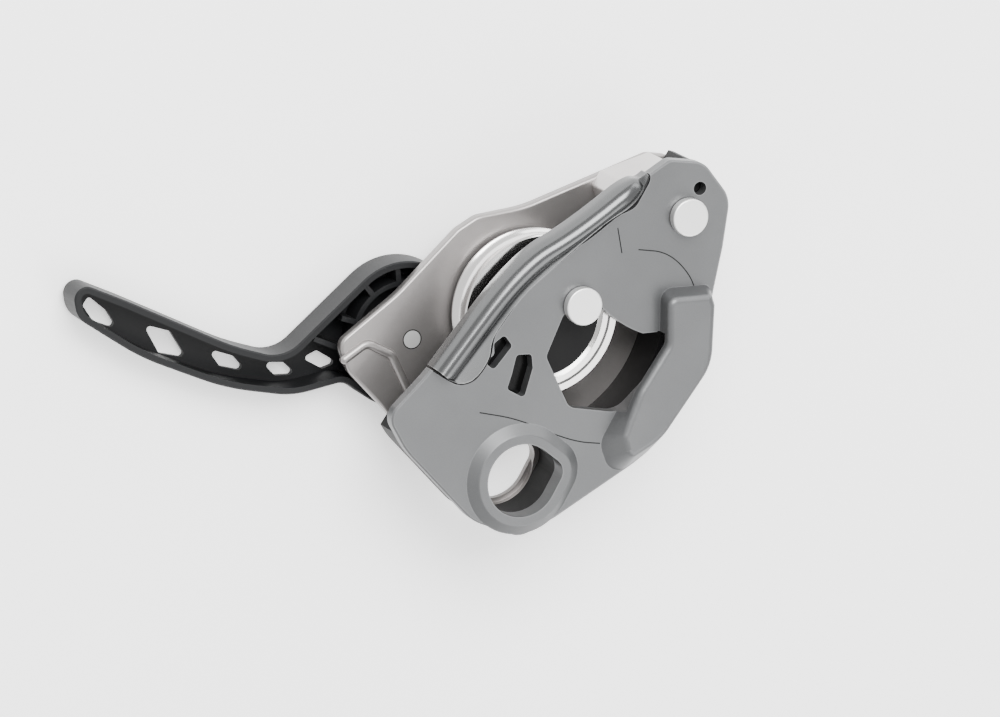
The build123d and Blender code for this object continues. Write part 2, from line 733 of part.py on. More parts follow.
# ================================================================ cam
with BuildPart() as cam_hub:
    with BuildSketch(Plane.XY.offset(CAM_BACK)):
        with Locations(WHEEL):
            Circle(CAM_RADIUS + CAM_SHOULDER)
    extrude(amount=BEARING_BACK - CAM_BACK)
    with BuildSketch(Plane.XY.offset(BEARING_BACK)):
        with Locations(WHEEL):
            Circle(CAM_RADIUS)
    extrude(amount=CAP_BACK - BEARING_BACK)
    with BuildSketch(Plane.XY.offset(CAM_BACK)):
        with Locations(AXLE):
            Circle(AXLE_BORE + CAM_BUSH_WALL)
        with Locations(RELEASE_POINT):
            Circle(RELEASE_PIN_RADIUS)
    extrude(amount=CAP_BACK - CAM_BACK, mode=Mode.SUBTRACT)
    with BuildSketch(Plane.XY.offset(CAM_BACK)):
        with Locations(AXLE):
            Circle(SPRING_POCKET_RADIUS)
    extrude(amount=SPRING_POCKET_DEPTH, mode=Mode.SUBTRACT)
save(cam_hub, "cam_hub")

with BuildPart() as cam_bush:
    with BuildSketch(Plane.XY.offset(CAM_BACK + SPRING_POCKET_DEPTH)):
        with Locations(AXLE):
            Circle(AXLE_BORE + CAM_BUSH_WALL)
            Circle(AXLE_BORE, mode=Mode.SUBTRACT)
    extrude(amount=CAP_BACK - CAM_BACK - SPRING_POCKET_DEPTH)
save(cam_bush, "cam_bush")

with BuildPart() as release_pin:
    with BuildSketch(Plane.XY.offset(FIXED_OUTER - RELEASE_PIN_PROUD)):
        with Locations(RELEASE_POINT):
            Circle(RELEASE_PIN_RADIUS)
    extrude(amount=CAP_BACK - FIXED_OUTER + RELEASE_PIN_PROUD)
save(release_pin, "release_pin")

with BuildPart() as cam_cap:
    with BuildSketch(Plane.XY.offset(CAP_BACK)):
        with Locations(WHEEL):
            Circle(CAM_RADIUS + CAM_SHOULDER)
        with Locations(AXLE):
            Circle(AXLE_BORE + CAM_BUSH_WALL, mode=Mode.SUBTRACT)
    extrude(amount=CAM_CAP_THICKNESS)
save(cam_cap, "cam_cap")

with BuildPart() as cam_circlip:
    with BuildSketch(Plane.XY.offset(CAP_BACK + CAM_CAP_THICKNESS + 2 * FIT_GAP)):
        add(ring_sector(AXLE, PIN_RADIUS, PIN_RADIUS + CIRCLIP_WALL, -50, 230))
    extrude(amount=CIRCLIP_THICKNESS)
save(cam_circlip, "cam_circlip")

# The return spring of the cam, as one flat open ring in a pocket round the axle.
with BuildPart() as cam_spring:
    with BuildSketch(Plane.XY.offset(CAM_BACK + SPRING_WIRE)):
        add(ring_sector(AXLE, SPRING_OUTER - SPRING_WIDTH, SPRING_OUTER, 20, 340))
    extrude(amount=2 * SPRING_WIRE)
save(cam_spring, "cam_spring")

# ---------------------------------------------------------------- bearing
with BuildPart() as bearing_inner_ring:
    with BuildSketch(Plane.XY.offset(BEARING_BACK)):
        with Locations(WHEEL):
            Circle(INNER_RACE_RADIUS)
            Circle(CAM_RADIUS, mode=Mode.SUBTRACT)
    extrude(amount=BEARING_WIDTH)
    with Locations((*WHEEL, BEARING_MIDDLE)):
        Torus(BALL_CIRCLE, RACE_TRACK, mode=Mode.SUBTRACT)
save(bearing_inner_ring, "bearing_inner_ring")

with BuildPart() as bearing_outer_ring:
    with BuildSketch(Plane.XY.offset(BEARING_BACK)):
        with Locations(WHEEL):
            Circle(WHEEL_BORE)
            Circle(OUTER_RACE_RADIUS, mode=Mode.SUBTRACT)
    extrude(amount=BEARING_WIDTH)
    with Locations((*WHEEL, BEARING_MIDDLE)):
        Torus(BALL_CIRCLE, RACE_TRACK, mode=Mode.SUBTRACT)
save(bearing_outer_ring, "bearing_outer_ring")

with BuildPart() as bearing_balls:
    with Locations((*WHEEL, BEARING_MIDDLE)):
        with PolarLocations(BALL_CIRCLE, BALL_COUNT):
            Sphere(BALL_RADIUS)
save(bearing_balls, "bearing_balls")

# ================================================================ rope wheel
with BuildPart() as rope_wheel:
    with BuildSketch(Plane(origin=(*WHEEL, 0), x_dir=(1, 0, 0), z_dir=(0, -1, 0))):
        with BuildLine():
            Polyline(
                (WHEEL_BORE, WHEEL_BACK + FACE_STEP),
                (WHEEL_RADIUS - FLANGE_LAND - LAND_SLOPE, WHEEL_BACK + FACE_STEP),
                (WHEEL_RADIUS - FLANGE_LAND, WHEEL_BACK),
                (WHEEL_RADIUS - LAND_EDGE, WHEEL_BACK),
                (WHEEL_RADIUS, WHEEL_BACK + LAND_EDGE),
                (WHEEL_RADIUS, WHEEL_BACK + GROOVE_LIP),
            )
            ThreePointArc(
                (WHEEL_RADIUS, WHEEL_BACK + GROOVE_LIP),
                (WHEEL_RADIUS - GROOVE_DEPTH, WHEEL_BACK + WHEEL_WIDTH / 2),
                (WHEEL_RADIUS, WHEEL_FRONT - GROOVE_LIP),
            )
            Polyline(
                (WHEEL_RADIUS, WHEEL_FRONT - GROOVE_LIP),
                (WHEEL_RADIUS, WHEEL_FRONT - LAND_EDGE),
                (WHEEL_RADIUS - LAND_EDGE, WHEEL_FRONT),
                (WHEEL_RADIUS - FLANGE_LAND, WHEEL_FRONT),
                (WHEEL_RADIUS - FLANGE_LAND - LAND_SLOPE, WHEEL_FRONT - FACE_STEP),
                (WHEEL_BORE, WHEEL_FRONT - FACE_STEP),
                (WHEEL_BORE, WHEEL_BACK + FACE_STEP),
            )
        make_face()
    revolve(axis=Axis((*WHEEL, 0), (0, 0, 1)))
save(rope_wheel, "rope_wheel")

# ================================================================ handle
with BuildPart() as handle_lever:
    with BuildSketch(Plane.XY.offset(HANDLE_BACK)):
        add(rounded_face(LEVER_CORNERS, LEVER_RADII))
    extrude(amount=HANDLE_DEPTH)
    chamfer(handle_lever.edges().group_by(Axis.Z)[0], HANDLE_WALL * 0.5)
    chamfer(handle_lever.edges().group_by(Axis.Z)[-1], HANDLE_WALL * 0.2)
    # the lever is a channel, open towards the fixed plate
    with BuildSketch(Plane.XY.offset(HANDLE_BACK + HANDLE_WEB)):
        add(rounded_face(LEVER_CORNERS, LEVER_RADII))
        offset(amount=-HANDLE_WALL)
    extrude(amount=HANDLE_DEPTH - HANDLE_WEB, mode=Mode.SUBTRACT)
    # ribs of the hub and its boss
    with BuildSketch(Plane.XY.offset(HANDLE_BACK + HANDLE_WEB)):
        with Locations(GRIP):
            Circle(HUB_RIB_RADIUS)
            Circle(HUB_RIB_RADIUS - RIB_THICKNESS, mode=Mode.SUBTRACT)
        for spoke in HUB_SPOKES:
            spoke_middle = (*around(GRIP, HUB_RIB_RADIUS + SPOKE_SHIFT, spoke), 0)
            with Locations(Location(spoke_middle, (0, 0, spoke))):
                Rectangle(SPOKE_LENGTH, RIB_THICKNESS)
        rib_middle = (*around(GRIP, ARM_RIB_REACH, ARM_RIB_ANGLE), 0)
        with Locations(Location(rib_middle, (0, 0, ARM_RIB_TURN))):
            Rectangle(ARM_RIB_LENGTH, RIB_THICKNESS)
    extrude(amount=HANDLE_DEPTH - HANDLE_WEB - RIB_DROP)
    with BuildSketch(Plane.XY.offset(HANDLE_BACK)):
        with Locations(GRIP):
            Circle(HUB_BOSS_RADIUS)
    extrude(amount=HANDLE_DEPTH - DOG_THICKNESS)
    # bore for the bush, and the windows in the web
    with BuildSketch(Plane.XY.offset(HANDLE_BACK)):
        with Locations(GRIP):
            Circle(GRIP_BORE + GRIP_BUSH_WALL)
        for corners in WEB_WINDOWS:
            points = [arm_point(share, drop) for share, drop in corners]
            outline = rounded_face(points, WEB_WINDOW_ROUND)
            offset(outline, amount=WINDOW_GROWTH, mode=Mode.ADD)
    extrude(amount=HANDLE_DEPTH, mode=Mode.SUBTRACT)
    # room for the finger of the steel dog in the ribs and the wall
    with BuildSketch(Plane.XY.offset(HANDLE_TOP - DOG_THICKNESS)):
        add(
            ring_sector(
                GRIP,
                HUB_BOSS_RADIUS,
                DOG_REACH,
                DOG_START - DOG_SIDE_ROOM,
                DOG_END + DOG_SIDE_ROOM,
            )
        )
        with Locations(GRIP):
            Circle(HUB_BOSS_RADIUS + DOG_ROOM)
    extrude(amount=DOG_THICKNESS, mode=Mode.SUBTRACT)
save(handle_lever, "handle_lever")

with BuildPart() as handle_bush:
    with BuildSketch(Plane.XY.offset(HANDLE_BACK)):
        with Locations(GRIP):
            Circle(GRIP_BORE + GRIP_BUSH_WALL)
            Circle(GRIP_BORE, mode=Mode.SUBTRACT)
    extrude(amount=HANDLE_DEPTH)
save(handle_bush, "handle_bush")

with BuildPart() as handle_dog:
    with BuildSketch(Plane.XY.offset(HANDLE_TOP - DOG_THICKNESS)):
        with Locations(GRIP):
            Circle(HUB_BOSS_RADIUS)
        add(ring_sector(GRIP, GRIP_BORE + GRIP_BUSH_WALL, DOG_REACH, DOG_START, DOG_END))
        with Locations(GRIP):
            Circle(GRIP_BORE + GRIP_BUSH_WALL, mode=Mode.SUBTRACT)
    extrude(amount=DOG_THICKNESS)
    chamfer(handle_dog.edges().group_by(Axis.Z)[-1], DOG_EDGE)
save(handle_dog, "handle_dog")

# Spring washer that keeps the handle where it is put.
with BuildPart() as handle_spring_washer:
    with BuildSketch(Plane.XY.offset(HANDLE_TOP)):
        with Locations(GRIP):
            Circle(WASHER_RADIUS)
            Circle(GRIP_PIN_RADIUS + WASHER_GAP, mode=Mode.SUBTRACT)
    extrude(amount=SPRING_WASHER_THICKNESS)
save(handle_spring_washer, "handle_spring_washer")

with BuildPart() as handle_washer:
    with BuildSketch(Plane.XY.offset(FIXED_OUTER - WASHER_THICKNESS)):
        with Locations(GRIP):
            Circle(WASHER_RADIUS)
            Circle(GRIP_PIN_RADIUS, mode=Mode.SUBTRACT)
    extrude(amount=WASHER_THICKNESS)
save(handle_washer, "handle_washer")

with BuildPart() as handle_rivet:
    with BuildSketch(Plane.XY.offset(HANDLE_BACK - GRIP_RIVET_PLAY)):
        with Locations(GRIP):
            Circle(GRIP_PIN_RADIUS)
    extrude(amount=FIXED_INNER - HANDLE_BACK + GRIP_RIVET_PLAY)
    with BuildSketch(Plane.XY.offset(HANDLE_BACK - GRIP_RIVET_PLAY)):
        with Locations(GRIP):
            Circle(PIN_HEAD_RADIUS)
    extrude(amount=-TAIL_HEIGHT)
    chamfer(handle_rivet.edges().group_by(Axis.Z)[0], PIN_EDGE)
save(handle_rivet, "handle_rivet")
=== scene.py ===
"""Looks of a belay device with a rope wheel on a locking cam, dressed on its CAD frame."""

import json
import logging
import math
from dataclasses import dataclass, field
from enum import Enum
from typing import Any, Dict, Iterable, List, Sequence, Tuple

import bmesh
import bpy
from mathutils import Matrix, Vector


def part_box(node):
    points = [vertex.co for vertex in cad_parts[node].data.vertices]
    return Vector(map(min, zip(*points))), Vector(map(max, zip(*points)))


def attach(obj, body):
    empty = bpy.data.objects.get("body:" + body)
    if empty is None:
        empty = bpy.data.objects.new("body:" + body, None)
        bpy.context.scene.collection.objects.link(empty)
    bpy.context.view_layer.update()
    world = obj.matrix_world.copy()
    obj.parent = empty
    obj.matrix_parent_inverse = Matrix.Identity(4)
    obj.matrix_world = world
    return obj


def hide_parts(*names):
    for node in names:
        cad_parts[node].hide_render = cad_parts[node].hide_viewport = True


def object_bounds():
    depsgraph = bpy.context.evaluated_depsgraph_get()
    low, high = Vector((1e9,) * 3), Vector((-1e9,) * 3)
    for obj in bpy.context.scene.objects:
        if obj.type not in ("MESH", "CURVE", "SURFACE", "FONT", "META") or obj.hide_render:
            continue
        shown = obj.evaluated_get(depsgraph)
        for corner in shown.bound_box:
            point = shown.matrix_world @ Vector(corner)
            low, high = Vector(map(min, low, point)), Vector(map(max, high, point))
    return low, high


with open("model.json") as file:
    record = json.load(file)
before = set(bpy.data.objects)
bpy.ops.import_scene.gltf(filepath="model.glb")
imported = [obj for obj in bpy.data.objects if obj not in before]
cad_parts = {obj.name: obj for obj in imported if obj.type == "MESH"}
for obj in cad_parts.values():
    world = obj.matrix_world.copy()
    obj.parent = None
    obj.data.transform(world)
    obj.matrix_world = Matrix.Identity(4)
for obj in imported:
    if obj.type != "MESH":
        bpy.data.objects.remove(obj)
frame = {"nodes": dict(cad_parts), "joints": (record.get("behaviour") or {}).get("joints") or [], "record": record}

CAD_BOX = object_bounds()
MM = 0.001
LOG = logging.getLogger("belay_device")

Colour = Tuple[float, float, float]
Point = Tuple[float, float]


class Body(str, Enum):
    """The rigid bodies that pieces ride on."""

    FRAME = "frame"
    FRONT_PLATE = "front_plate"
    CAM = "cam"
    WHEEL = "wheel"
    HANDLE = "handle"


# ---------------------------------------------------------------- shader toolkit
class Value:
    """One output socket of a shader graph, used as a number in Python expressions."""

    def __init__(self, graph: "Graph", socket: bpy.types.NodeSocket) -> None:
        """Wraps a socket.

        Args:
            graph: the graph that the socket belongs to.
            socket: the output socket.
        """
        self.graph = graph
        self.socket = socket

    def _maths(self, operation: str, first: Any, second: Any) -> "Value":
        """Adds one Math node.

        Args:
            operation: the node's operation.
            first: its first value or link.
            second: its second value or link.

        Returns:
            The node's result.
        """
        return self.graph.node("ShaderNodeMath", {"operation": operation}, {0: first, 1: second})

    def __add__(self, other: Any) -> "Value":
        """Sum."""
        return self._maths("ADD", self, other)

    def __radd__(self, other: Any) -> "Value":
        """Sum, reflected."""
        return self._maths("ADD", other, self)

    def __sub__(self, other: Any) -> "Value":
        """Difference."""
        return self._maths("SUBTRACT", self, other)

    def __rsub__(self, other: Any) -> "Value":
        """Difference, reflected."""
        return self._maths("SUBTRACT", other, self)

    def __mul__(self, other: Any) -> "Value":
        """Product."""
        return self._maths("MULTIPLY", self, other)

    def __rmul__(self, other: Any) -> "Value":
        """Product, reflected."""
        return self._maths("MULTIPLY", other, self)


class Graph:
    """The node graph of one material."""

    def __init__(self, name: str) -> None:
        """Makes an empty material.

        Args:
            name: the material's name.
        """
        self.material = bpy.data.materials.new(name)
        self.material.use_nodes = True
        self.tree = self.material.node_tree
        self.tree.nodes.clear()

    def node(
        self,
        kind: str,
        settings: Dict[str, Any] | None = None,
        values: Dict[Any, Any] | None = None,
        output: Any = 0,
    ) -> Value:
        """Adds a node: its settings first, then its values and links.

        Args:
            kind: the node's type.
            settings: attributes of the node, and "stops" for a ramp's (place, grey) pairs.
            values: socket name or number to a value or a link.
            output: name or number of the output that is returned.

        Returns:
            The chosen output.
        """
        made = self.tree.nodes.new(kind)
        for key, setting in (settings or {}).items():
            if key == "stops":
                self._set_stops(made.color_ramp, setting)
            else:
                setattr(made, key, setting)
        for key, value in (values or {}).items():
            if isinstance(value, Value):
                self.tree.links.new(value.socket, made.inputs[key])
            else:
                made.inputs[key].default_value = value
        return Value(self, made.outputs[output])

    @staticmethod
    def _set_stops(ramp: bpy.types.ColorRamp, stops: Sequence[Point]) -> None:
        """Sets the grey stops of a ramp.

        Args:
            ramp: the ramp, with its two first stops.
            stops: (place, grey) pairs.
        """
        while len(ramp.elements) < len(stops):
            ramp.elements.new(0.5)
        for element, (place, grey) in zip(ramp.elements, stops):
            element.position = place
            element.color = (grey, grey, grey, 1.0)

    def place(self) -> Value:
        """The place on the object, in metres."""
        return self.node("ShaderNodeTexCoord", output="Object")

    def stretched(self, scale: Tuple[float, float, float], turn: float = 0.0) -> Value:
        """The place, stretched and turned about the thickness direction.

        Args:
            scale: features per metre along each direction.
            turn: turn in degrees.

        Returns:
            The stretched place.
        """
        return self.node(
            "ShaderNodeMapping",
            None,
            {
                "Vector": self.place(),
                "Rotation": (0.0, 0.0, math.radians(turn)),
                "Scale": scale,
            },
        )

    def noise(self, where: Value, scale: float, detail: float = 4.0) -> Value:
        """Soft noise from 0 to 1.

        Args:
            where: the place.
            scale: features per unit of the place.
            detail: how many finer layers it has.

        Returns:
            The noise.
        """
        return self.node(
            "ShaderNodeTexNoise", None, {"Vector": where, "Scale": scale, "Detail": detail}, "Fac"
        )

    def ramp(self, value: Value, stops: Sequence[Point]) -> Value:
        """A value bent by a ramp of grey stops."""
        return self.node("ShaderNodeValToRGB", {"stops": stops}, {"Fac": value}, "Color")

    def mix(self, share: Any, first: Any, second: Any) -> Value:
        """A mix of two colours.

        Args:
            share: how much of the second colour, from 0 to 1.
            first: a colour or a link.
            second: a colour or a link.

        Returns:
            The mixed colour.
        """

        def whole(colour: Any) -> Any:
            """A colour with its fourth number."""
            return colour if isinstance(colour, Value) else (*colour, 1.0)

        return self.node(
            "ShaderNodeMix",
            {"data_type": "RGBA"},
            {0: share, 6: whole(first), 7: whole(second)},
            2,
        )

    def edges(self, radius: float = 0.0005) -> Value:
        """Where the surface lies near an edge: 0 on flats, 1 on edges.

        Args:
            radius: the reach of the edge in metres.

        Returns:
            The mask.
        """
        rounded = self.node("ShaderNodeBevel", {"samples": 6}, {"Radius": radius}, "Normal")
        flat = self.node("ShaderNodeNewGeometry", output="Normal")
        alike = self.node(
            "ShaderNodeVectorMath", {"operation": "DOT_PRODUCT"}, {0: rounded, 1: flat}, "Value"
        )
        return self.ramp(1.0 - alike, [(0.0, 0.0), (0.12, 1.0)])

    def bump(self, height: Value, distance: float, strength: float) -> Value:
        """A normal that is roughened by a height.

        Args:
            height: the height, from 0 to 1.
            distance: the height's reach in metres.
            strength: from 0 to 1.

        Returns:
            The normal.
        """
        return self.node(
            "ShaderNodeBump",
            None,
            {"Height": height, "Distance": distance, "Strength": strength},
            "Normal",
        )

    def finish(self, sockets: Dict[str, Any]) -> bpy.types.Material:
        """Ends the graph in a Principled shader.

        Args:
            sockets: its values and links.

        Returns:
            The material.
        """
        surface = self.node("ShaderNodeBsdfPrincipled", None, sockets)
        out = self.tree.nodes.new("ShaderNodeOutputMaterial")
        self.tree.links.new(surface.socket, out.inputs["Surface"])
        return self.material


# ---------------------------------------------------------------- finishes
@dataclass(frozen=True)
class BeadBlasted:
    """Anodised metal with a fine blasted grain and a painted highlight that lightens its edges."""

    name: str
    colour: Colour
    roughness: float = 0.42
    grain: float = 5200.0
    depth: float = 0.000012
    metallic: float = 0.9
    clouds: float = 60.0
    shade: float = 0.88
    pale_gain: float = 1.7
    pale_lift: float = 0.05
    speckle: float = 0.25
    # how much a painted highlight lightens the edges in the base colour
    edge_highlight: float = 0.6

    def material(self) -> bpy.types.Material:
        """The material."""
        graph = Graph(self.name)
        where = graph.place()
        grain = graph.noise(where, self.grain, 3.0)
        cloud = graph.noise(where, self.clouds, 3.0)
        deep = tuple(part * self.shade for part in self.colour)
        pale = tuple(min(1.0, part * self.pale_gain + self.pale_lift) for part in self.colour)
        body = graph.mix(graph.ramp(cloud, [(0.35, 0.0), (0.65, 1.0)]), deep, self.colour)
        speckled = graph.mix(grain * self.speckle, body, pale)
        # painted highlight: the edges are mixed towards the pale colour
        edge_highlighted = graph.mix(graph.edges() * self.edge_highlight, speckled, pale)
        return graph.finish(
            {
                "Base Color": edge_highlighted,
                "Metallic": self.metallic,
                "Roughness": self.roughness - 0.06 + grain * 0.08 + cloud * 0.05,
                "Normal": graph.bump(grain, self.depth, 0.5),
            }
        )


@dataclass(frozen=True)
class Brushed:
    """Metal with fine parallel brush lines and a painted highlight on its edges."""

    name: str
    colour: Colour
    roughness: float = 0.3
    direction: float = 0.0
    lines: float = 9000.0
    # how much a painted highlight lightens the edges in the base colour
    edge_highlight: float = 0.5
    contrast: float = 0.2
    clouds: float = 110.0
    line_depth: float = 0.000006
    # the colour of the painted edge highlight
    bright: Colour = (0.86, 0.86, 0.85)

    def material(self) -> bpy.types.Material:
        """The material."""
        graph = Graph(self.name)
        scale = (self.lines, self.lines * 0.02, self.lines * 0.1)
        along = graph.stretched(scale, self.direction)
        lines = graph.noise(along, 1.0, 4.0)
        cloud = graph.noise(graph.place(), self.clouds, 2.0)
        deep = tuple(part * (1.0 - self.contrast) for part in self.colour)
        body = graph.mix(graph.ramp(lines, [(0.3, 0.0), (0.7, 1.0)]), deep, self.colour)
        # painted highlight: the edges are mixed towards the bright colour
        edge_highlighted = graph.mix(graph.edges() * self.edge_highlight, body, self.bright)
        return graph.finish(
            {
                "Base Color": edge_highlighted,
                "Metallic": 1.0,
                "Roughness": self.roughness - 0.08 + lines * 0.12 + cloud * 0.06,
                "Normal": graph.bump(lines, self.line_depth, self.contrast * 1.5),
            }
        )


@dataclass(frozen=True)
class Turned:
    """Metal turned on a lathe: faint rings round a centre."""

    name: str
    colour: Colour
    centre: Point
    roughness: float = 0.18
    rings: float = 5000.0
    ring_depth: float = 0.000004
    shade: float = 0.85
    clouds: float = 140.0

    def material(self) -> bpy.types.Material:
        """The material."""
        graph = Graph(self.name)
        moved = graph.node(
            "ShaderNodeVectorMath",
            {"operation": "SUBTRACT"},
            {0: graph.place(), 1: (self.centre[0], self.centre[1], 0.0)},
        )
        flat = graph.node(
            "ShaderNodeVectorMath", {"operation": "MULTIPLY"}, {0: moved, 1: (1.0, 1.0, 0.0)}
        )
        radius = graph.node("ShaderNodeVectorMath", {"operation": "LENGTH"}, {0: flat}, "Value")
        row = graph.node("ShaderNodeCombineXYZ", None, {"X": radius * self.rings})
        rings = graph.noise(row, 1.0, 3.0)
        cloud = graph.noise(graph.place(), self.clouds, 2.0)
        deep = tuple(part * self.shade for part in self.colour)
        body = graph.mix(rings, deep, self.colour)
        return graph.finish(
            {
                "Base Color": body,
                "Metallic": 1.0,
                "Roughness": self.roughness + rings * 0.06 + cloud * 0.05,
                "Normal": graph.bump(rings, self.ring_depth, 0.3),
            }
        )


@dataclass(frozen=True)
class Moulded:
    """Moulded plastic with a fine spark-eroded texture and a painted highlight on its edges."""

    name: str
    colour: Colour
    roughness: float = 0.5
    texture: float = 3400.0
    depth: float = 0.00002
    shine: float = 0.5
    clouds: float = 45.0
    pale_gain: float = 1.8
    pale_lift: float = 0.002

    def material(self) -> bpy.types.Material:
        """The material."""
        graph = Graph(self.name)
        where = graph.place()
        texture = graph.noise(where, self.texture, 4.0)
        cloud = graph.noise(where, self.clouds, 3.0)
        pale = tuple(part * self.pale_gain + self.pale_lift for part in self.colour)
        body = graph.mix(cloud * 0.5, self.colour, pale)
        # painted highlight: the edges are mixed towards the pale colour
        lit_edges = graph.mix(graph.edges() * 0.5, body, pale)
        return graph.finish(
            {
                "Base Color": lit_edges,
                "Specular IOR Level": self.shine,
                "Roughness": self.roughness - 0.05 + texture * 0.12 + cloud * 0.06,
                "Normal": graph.bump(texture, self.depth, 0.45),
            }
        )


AXLE_SPOT = tuple(frame["joints"][1]["pos_m"][:2])
WHEEL_SPOT = tuple(frame["joints"][2]["pos_m"][:2])

FINISHES: Dict[str, Any] = {
    "fixed_plate_metal": BeadBlasted(
        "fixed_plate_metal", (0.25, 0.237, 0.232), 0.36, metallic=0.85
    ),
    "moving_plate_metal": BeadBlasted(
        "moving_plate_metal", (0.105, 0.107, 0.109), 0.42, metallic=0.75
    ),
    "wear_steel": Brushed(
        # only a little painted highlight on the insert's edges
        "wear_steel", (0.1, 0.102, 0.103), 0.24, -68.0, edge_highlight=0.12, contrast=0.08
    ),
    "polished_steel": Turned("polished_steel", (0.74, 0.74, 0.73), WHEEL_SPOT, 0.12),
    "block_metal": BeadBlasted("block_metal", (0.5, 0.48, 0.47), 0.4),
    "pin_steel": Turned("pin_steel", (0.9, 0.9, 0.89), AXLE_SPOT, 0.4),
    "black_moulding": Moulded("black_moulding", (0.002, 0.002, 0.0022), 0.5, shine=0.18),
    "gloss_moulding": Moulded(
        "gloss_moulding", (0.0008, 0.0008, 0.0008), 0.2, 900.0, 0.000008, 0.1
    ),
    "handle_moulding": Moulded("handle_moulding", (0.004, 0.0042, 0.0047), 0.46, shine=0.24),
    "bush_bronze": Turned("bush_bronze", (0.45, 0.3, 0.15), AXLE_SPOT, 0.35),
    "spring_steel": Brushed("spring_steel", (0.55, 0.55, 0.56), 0.28),
    "cam_metal": Brushed("cam_metal", (0.5, 0.5, 0.5), 0.35, 20.0),
    "wheel_metal": Turned("wheel_metal", (0.72, 0.71, 0.7), WHEEL_SPOT, 0.14),
}


# ---------------------------------------------------------------- mesh helpers
def make_piece(
    name: str,
    corners: Sequence[Sequence[float]],
    faces: Sequence[Sequence[int]],
    body: Body,
    material: bpy.types.Material,
) -> bpy.types.Object:
    """Makes a smooth mesh piece that rides on a body.

    Args:
        name: the piece's name.
        corners: its points, in metres.
        faces: its faces, as numbers of points.
        body: the body that it rides on.
        material: its material.

    Returns:
        The piece.
    """
    mesh = bpy.data.meshes.new(name)
    mesh.from_pydata([tuple(corner) for corner in corners], [], [tuple(face) for face in faces])
    builder = bmesh.new()
    builder.from_mesh(mesh)
    bmesh.ops.recalc_face_normals(builder, faces=builder.faces)
    builder.to_mesh(mesh)
    builder.free()
    for face in mesh.polygons:
        face.use_smooth = True
    piece = bpy.data.objects.new(name, mesh)
    bpy.context.scene.collection.objects.link(piece)
    piece.data.materials.append(material)
    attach(piece, body.value)
    LOG.info("%s rides on %s, %d faces", name, body.value, len(mesh.polygons))
    return piece


def smooth_line(points: Sequence[Point], spacing: float, rounds: int = 4) -> List[Point]:
    """An evenly stepped line whose corners are cut round.

    Args:
        points: the given corners.
        spacing: distance between the points made.
        rounds: how often the corners are cut.

    Returns:
        The points of the line.
    """
    line = [Vector(point) for point in points]
    for _ in range(rounds):
        cut = [line[0]]
        for first, second in zip(line, line[1:]):
            cut += [first.lerp(second, 0.25), first.lerp(second, 0.75)]
        line = cut + [line[-1]]
    lengths = [(second - first).length for first, second in zip(line, line[1:])]
    count = max(2, round(sum(lengths) / spacing))
    even: List[Point] = []
    stretch, passed = 0, 0.0
    for step in range(count + 1):
        goal = sum(lengths) * step / count
        while stretch < len(lengths) - 1 and passed + lengths[stretch] < goal:
            passed += lengths[stretch]
            stretch += 1
        share = (goal - passed) / max(lengths[stretch], 1e-12)
        even.append(tuple(line[stretch].lerp(line[stretch + 1], min(share, 1.0))))
    return even


def ribbon(line: Sequence[Point], width: float, level: float) -> List[Tuple[float, float, float]]:
    """The two rows of points of a flat ribbon along a line, point by point.

    Args:
        line: the middle line, in metres.
        width: its width.
        level: its height.

    Returns:
        Left and right point of each place in turn.
    """
    corners: List[Tuple[float, float, float]] = []
    for index, spot in enumerate(line):
        before = line[max(index - 1, 0)]
        after = line[min(index + 1, len(line) - 1)]
        along = Vector((after[0] - before[0], after[1] - before[1])).normalized()
        side = Vector((-along.y, along.x)) * width / 2
        corners += [
            (spot[0] + side.x, spot[1] + side.y, level),
            (spot[0] - side.x, spot[1] - side.y, level),
        ]
    return corners


# ---------------------------------------------------------------- sub-assemblies
@dataclass
class CadFinishes:
    """Dresses every node that keeps its own shape."""

    materials: Dict[str, bpy.types.Material] = field(default_factory=dict)

    @staticmethod
    def keep_flats_flat(node: bpy.types.Object, sharp: float = 24.0) -> None:
        """Splits the shading at sharp edges and lets large faces set it.

        Args:
            node: the node.
            sharp: the edge angle in degrees above which the shading splits.
        """
        split = node.modifiers.new("sharp_edges", "EDGE_SPLIT")
        split.split_angle = math.radians(sharp)
        weighted = node.modifiers.new("face_weighted", "WEIGHTED_NORMAL")
        weighted.weight = 90
        weighted.keep_sharp = True

    def dress(self) -> None:
        """Makes the materials and gives each node the one of its slot."""
        for slot, finish in FINISHES.items():
            self.materials[slot] = finish.material()
        for part in frame["record"]["subparts"]:
            node = frame["nodes"][part["node"]]
            node.data.materials.clear()
            node.data.materials.append(self.materials[part["material_slot"]])
            self.keep_flats_flat(node)
            LOG.info("%s wears %s", part["node"], part["material_slot"])


